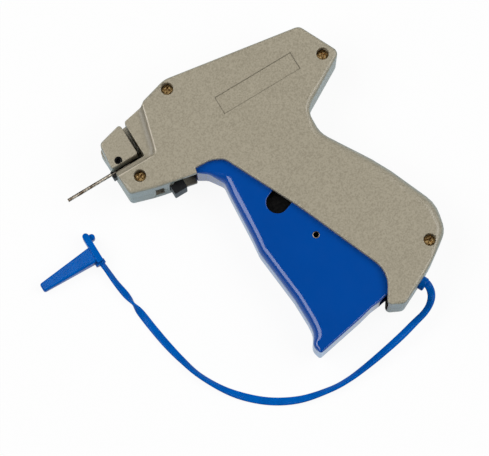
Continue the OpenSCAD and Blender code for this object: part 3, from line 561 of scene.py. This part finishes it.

# %% [markdown]
# ## The springs
# Two springs are pressed together as the tool works, which a rigid solid can't do. Each is
# replaced by a shaded copy with a mesh of its own, and the return spring's length is printed.

# %% Springs
return_coil = hand_over(copy_of_node("return_spring", "return_coil"), "return_spring")
low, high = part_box("return_spring")
print("return spring in mm:", round((high.x - low.x) * 1000, 2))
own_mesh(return_coil)
tab_coils = hand_over(copy_of_node("button_spring", "tab_coils"), "button_spring")
low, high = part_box("button_spring")
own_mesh(tab_coils)

# %% [markdown]
# ## Shader arithmetic
# A material is easier to read as a formula. One small class wraps a node's output, so that
# adding or multiplying two of them adds the Math node, and one method makes any other node. The
# last few methods are masks: soft edges, soft lines and the distance from a stretch.


# %% Sockets that can be added and multiplied
class Value:
    def __init__(self, graph, socket):
        self.graph, self.socket = graph, socket

    def calc(self, operation, a, b=None):
        return self.graph.node("ShaderNodeMath", {"operation": operation}, [a, b])

    def __add__(self, other):
        return self.calc("ADD", self, other)

    def __radd__(self, other):
        return self.calc("ADD", other, self)

    def __sub__(self, other):
        return self.calc("SUBTRACT", self, other)

    def __rsub__(self, other):
        return self.calc("SUBTRACT", other, self)

    def __mul__(self, other):
        return self.calc("MULTIPLY", self, other)

    def __rmul__(self, other):
        return self.calc("MULTIPLY", other, self)

    def __pow__(self, other):
        return self.calc("POWER", self, other)

    def limit(self):
        return self.graph.node("ShaderNodeClamp", {}, [self])

    def size(self):
        return self.calc("ABSOLUTE", self)

    def spread(self, gain):
        """A noise that keeps near a half, stretched about it and cut off at 0 and 1."""
        return ((self - 0.5) * gain + 0.5).limit()

    def above(self, edge, gain=1):
        """A mask that grows from 0 at the edge to 1 above it, by the gain for each mm."""
        return ((self - edge) * gain).limit()

    def below(self, edge, gain=1):
        """A mask that grows from 0 at the edge to 1 below it, by the gain for each mm."""
        return ((edge - self) * gain).limit()

    def line(self, place, gain):
        """A soft line round one place, narrower with more gain."""
        return (1.3 - (self - place).size() * gain).limit()

    def outside(self, low, high):
        """How far the value lies outside a stretch, and negative inside it."""
        return (self - (low + high) / 2).size() - (high - low) / 2


# %% A node tree with one method for every node, and a material made of one
class Graph:
    def __init__(self, tree):
        self.tree = tree

    def node(self, kind, settings, inputs, output=0):
        """Adds a node; inputs are numbers or Values, in order or keyed by socket."""
        n = self.tree.nodes.new(kind)
        for key, value in settings.items():
            setattr(n, key, value)
        pairs = inputs.items() if isinstance(inputs, dict) else enumerate(inputs)
        for key, value in pairs:
            if isinstance(value, Value):
                self.tree.links.new(value.socket, n.inputs[key])
            elif value is not None:
                n.inputs[key].default_value = value
        return Value(self, n.outputs[output])

    def mix(self, share, a, b):
        return self.node("ShaderNodeMix", {"data_type": "RGBA"}, {0: share, 6: a, 7: b}, 2)


class Finish(Graph):
    def __init__(self, name, **fixed):
        self.material = bpy.data.materials.new(name)
        self.material.use_nodes = True
        super().__init__(self.material.node_tree)
        self.shader = self.tree.nodes["Principled BSDF"]
        self.place = self.node("ShaderNodeTexCoord", {}, [], "Object")
        for key, value in fixed.items():
            socket = key.replace("_", " ").title().replace("Ior", "IOR")
            self.shader.inputs[socket].default_value = value

    def feed(self, name, value):
        self.tree.links.new(value.socket, self.shader.inputs[name])

    def noise(self, scale, detail=2.0, rough=0.5):
        return self.node("ShaderNodeTexNoise", {}, {
            "Vector": self.place, "Scale": scale, "Detail": detail, "Roughness": rough})

    def bump(self, height, strength, distance):
        self.feed("Normal", self.node("ShaderNodeBump", {}, {
            "Strength": strength, "Distance": distance, "Height": height}))

    def cover(self, *objects):
        for o in objects:
            o.data.materials.clear()
            o.data.materials.append(self.material)
        print(self.material.name, "covers", ", ".join(o.name for o in objects))


def rgb(*levels):
    """A colour as the eye reads it, 0 to 255, turned into the linear values of a shader."""
    shares = [level / 255 for level in levels]
    return (*(s / 12.92 if s < 0.0404 else ((s + 0.055) / 1.055) ** 2.4 for s in shares), 1)


# %% [markdown]
# ## The housing's grained plastic
# The housing is a warm grey engineering plastic from an etched mould: its grain is a field of
# small soft bumps, about half a millimetre apart, that breaks the shine into a satin. The same
# noise drives the colour a little, because the hollows of such a grain keep some dirt.
#
# On the real tool the strip under the feed slot and the sweep behind it are dark, their crests
# show as light lines, and the recessed panel has a dark rim. These edges are modelled, but
# their own shine and shadow come out weak under soft light. So the marks are painted as well,
# by their place on the housing in the source's mm. They stay where they are under any light.

# %% Grain, and the place on the housing in the source's mm
grain = Finish("grained_plastic")
pits = grain.noise(1500, 1.5, 0.5).spread(2.6)
clouds = grain.noise(70, 3.0, 0.5).spread(1.5)
x, y, z = (grain.node("ShaderNodeSeparateXYZ", {}, [grain.place], k) * 1000 - shift[k] * 1000
           for k in range(3))

# %% Painted shade in the step, in the sweep and round the panel
panel_x, panel_y = (53.1, 90.7), (-4.8, 3.3)
strip_low, strip_high, strip_end = -4.6, -1.8, 17
sweep_foot, sweep_way, sweep_wide = (20.2, -1.6), (0.964, 0.267), 3.6
sweep_run = (sweep_foot[0] - x) * sweep_way[0] + (y - sweep_foot[1]) * sweep_way[1]
under_face = z.below(12.4) * z.above(10.5)
strip = y.above(strip_low, 2) * y.below(strip_high, 2) * x.below(strip_end, 0.5)
sweep = sweep_run.below(sweep_wide, 0.6) * sweep_run.above(-0.3, 2) * y.above(-4.3)
from_rim = grain.node("ShaderNodeMath", {"operation": "MAXIMUM"}, [
    x.outside(*panel_x), y.outside(*panel_y)])
# Painted shade: the strip under the slot, the sweep behind it and the rim of the panel are
# darkened in the colour.
painted_shade = ((strip + sweep).limit() * under_face * 0.7 + from_rim.line(0, 4) * 0.5).limit()

# %% Painted highlights on the crests, and the finished plastic
# Painted highlights: light lines along the crests of the sweep and the strip.
sweep_crest = sweep_run.line(-0.25, 3) * y.above(-4)
strip_crest = y.line(-4.45, 3) * x.below(18, 0.5)
painted_highlight = (sweep_crest + strip_crest).limit() * z.above(11.6, 2) * y.below(24, 0.2)
clean = grain.mix(pits * 0.85 + clouds * 0.15, rgb(149, 141, 122), rgb(178, 170, 150))
# The darker colour is painted shade over the grained plastic.
grain_with_painted_shade = grain.mix(painted_shade, clean, rgb(104, 98, 84))
# The lightest colour is a painted highlight on the crests.
grain.feed("Base Color", grain.mix(painted_highlight * 0.7, grain_with_painted_shade, rgb(214, 204, 186)))
grain.feed("Roughness", 0.33 - 0.06 * pits)
grain.bump(pits, 0.3, 0.00005)
grain.cover(left_half, right_half, nose_plate)

# %% [markdown]
# ## Blue trigger, cap and strap
# The trigger is polished and hard, so it mirrors the lamps along its rounded front. A thin coat
# gives it that skin over a slightly rougher plastic. The cap, the strap and the plug are a
# softer blue that hardly shines, so they get almost no reflection, not a rougher surface.

# %% Blue plastics
gloss = Finish("trigger_gloss", coat_weight=0.5, coat_roughness=0.05)
gloss.feed("Base Color", gloss.mix(gloss.noise(25).spread(1.5), rgb(0, 70, 156), rgb(0, 77, 168)))
gloss.feed("Roughness", 0.12 + 0.08 * gloss.noise(300))
gloss.bump(gloss.noise(90), 0.05, 0.0002)
gloss.cover(squeeze_trigger)

soft_blue = Finish("soft_blue", specular_ior_level=0.07)
soft_blue.feed("Base Color", soft_blue.mix(soft_blue.noise(250, 3.0).spread(2.0),
                                           rgb(0, 86, 172), rgb(0, 99, 192)))
soft_blue.feed("Roughness", 0.16 + 0.06 * soft_blue.noise(700))
soft_blue.bump(soft_blue.noise(500), 0.03, 0.0001)
soft_blue.cover(strap, cap, plug)

# %% [markdown]
# ## Metals
# Turned pins and springs are bright steel with fine marks, the screws are yellow passivated,
# and the drive arm is blackened. The needle is bare steel that has gone brown in blotches where
# adhesive and lint stuck to it. All of them are one recipe with two colours, so one function
# makes them, and the scale of its noise says how fine the marks are.


# %% Metal finishes
def metal(name, dark, light, roughness, marks, contrast=1.5):
    """A metal between two colours; marks is the scale of its noise."""
    f = Finish(name, metallic=1.0)
    streak = f.noise(marks, 3.0, 0.6)
    f.feed("Base Color", f.mix(streak.spread(contrast), rgb(*dark), rgb(*light)))
    f.feed("Roughness", roughness + 0.2 * f.noise(marks * 0.4))
    f.bump(streak, 0.2, 0.00005)
    return f


bright_nodes = (
    "trigger_pin", "arm_pin", "slide_pin", "pusher_rod", "knife", "wheel_shaft", "pawl_pin",
    "pawl_spring", "detent_spring")
metal("bright_steel", (170, 172, 176), (206, 208, 212), roughness=0.18, marks=900).cover(
    *(nodes[n] for n in bright_nodes), return_coil, tab_coils)
metal("used_needle", (96, 76, 54), (236, 226, 210), roughness=0.42, marks=420,
      contrast=4.0).cover(nodes["needle"])
metal("dull_steel", (104, 84, 62), (190, 186, 176), roughness=0.3, marks=1300,
      contrast=2.0).cover(rolled_pin)
metal("yellow_screw", (104, 76, 40), (226, 192, 134), roughness=0.34, marks=700,
      contrast=3.0).cover(screws)
metal("wheel_brass", (176, 142, 80), (214, 186, 120), roughness=0.25, marks=500).cover(
    nodes["feed_wheel"])
metal("black_steel", (12, 13, 15), (38, 37, 36), roughness=0.3, marks=800).cover(
    nodes["drive_arm"], needle_screw, nodes["feed_pawl"])

# %% [markdown]
# ## Black plastic
# The tab, the slide, the rod's guide and the needle's base are plain black mouldings. Black
# plastic is never quite black, so the darker of its two colours stays above zero.

# %% Black plastic
black = Finish("black_plastic", specular_ior_level=0.3)
black.feed("Base Color", black.mix(black.noise(400, 3.0).spread(2.0),
                                   rgb(8, 9, 11), rgb(19, 21, 24)))
black.feed("Roughness", 0.34 + 0.2 * black.noise(900))
black.bump(black.noise(900), 0.25, 0.00008)
black.cover(tab, *(nodes[n] for n in ("pusher_slide", "rod_guide", "needle_base")))

# %% [markdown]
# ## The floor
# The camera sees a white floor with the tool's own shadow on it. What the floor throws back on
# the tool is another matter: in the photograph the upright walls look cool, so the floor is
# blue for diffuse light. Light Path tells the rays apart. For mirrors and glass the floor is
# half aglow in white, so metal and gloss show a pale surrounding.

# %% Floor
floor_size, floor_gap = 6, 0.00005
seen_glow, mirror_glow = 0.92, 0.5
floor_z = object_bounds()[0][2] - floor_gap
bpy.ops.object.select_all(action="DESELECT")
bpy.ops.mesh.primitive_plane_add(size=floor_size, location=(0, 0, floor_z))
floor = bpy.context.object
floor.name = "floor"
pale = Finish("pale_floor", roughness=0.9)
camera_ray, mirror_ray, glass_ray = (
    pale.node("ShaderNodeLightPath", {}, [], "Is %s Ray" % kind)
    for kind in ("Camera", "Glossy", "Transmission"))
pale.feed("Base Color", pale.mix(camera_ray, (0.3, 0.62, 0.84, 1), (0.95, 0.95, 0.95, 1)))
glow = pale.node("ShaderNodeEmission", {}, {"Color": (1, 1, 1, 1), "Strength": 1.0})
both = pale.node("ShaderNodeMixShader", {}, [
    camera_ray * seen_glow + (mirror_ray + glass_ray) * mirror_glow,
    Value(pale, pale.shader.outputs[0]), glow])
pale.tree.links.new(both.socket, pale.tree.nodes["Material Output"].inputs["Surface"])
pale.cover(floor)

# %% [markdown]
# ## The lamps
# Two wide soft boxes lean over the tool from the left and the right of the picture, and leave
# the ceiling between them dark. So the rounded edges that face a box turn light, while the
# polished face of the trigger, which mirrors the ceiling, keeps its deep blue.


# %% Soft boxes
def soft_box(name, lean, forward, width, length, radiance):
    """A lamp one metre away that leans from the vertical to the picture's right, in degrees."""
    lean, forward = math.radians(lean), math.radians(forward)
    out = (picture_right * math.sin(lean) - picture_up * math.sin(forward)
           + Vector((0, 0, math.cos(lean)))).normalized()
    wide = picture_up.cross(out).normalized()
    data = bpy.data.lights.new(name, "AREA")
    data.shape, data.size, data.size_y = "RECTANGLE", width, length
    data.energy = radiance * math.pi * width * length
    o = bpy.data.objects.new(name, data)
    bpy.context.collection.objects.link(o)
    o.rotation_euler = Matrix((wide, out.cross(wide), out)).transposed().to_euler()
    o.location = out
    print(name, "gives", round(data.energy, 2), "W")


soft_box("left_box", lean=-35, forward=-2, width=0.7, length=0.9, radiance=3.3)
soft_box("right_box", lean=37, forward=-2, width=0.66, length=0.9, radiance=3.2)

# %% [markdown]
# ## The world
# The sky is almost black overhead and grows pale towards the horizon, where it fills the
# shadows from the side. The camera sees it at strength 1, which is white.

# %% World
ceiling, horizon = 0.01, 0.3
world = bpy.data.worlds.new("studio")
world.use_nodes = True
bpy.context.scene.world = world
sky = Graph(world.node_tree)
direction = sky.node("ShaderNodeTexCoord", {}, [], "Generated")
slope = (1 - sky.node("ShaderNodeSeparateXYZ", {}, [direction], 2)).limit()
seen = sky.node("ShaderNodeLightPath", {}, [], "Is Camera Ray")
strength = seen + (1 - seen) * (ceiling + horizon * slope ** 2)
background = world.node_tree.nodes["Background"]
background.inputs["Color"].default_value = (1, 1, 1, 1)
world.node_tree.links.new(strength.socket, background.inputs["Strength"])
bpy.context.scene.view_settings.view_transform = "Standard"
print("the world goes from", ceiling, "overhead to", ceiling + horizon, "at the horizon")
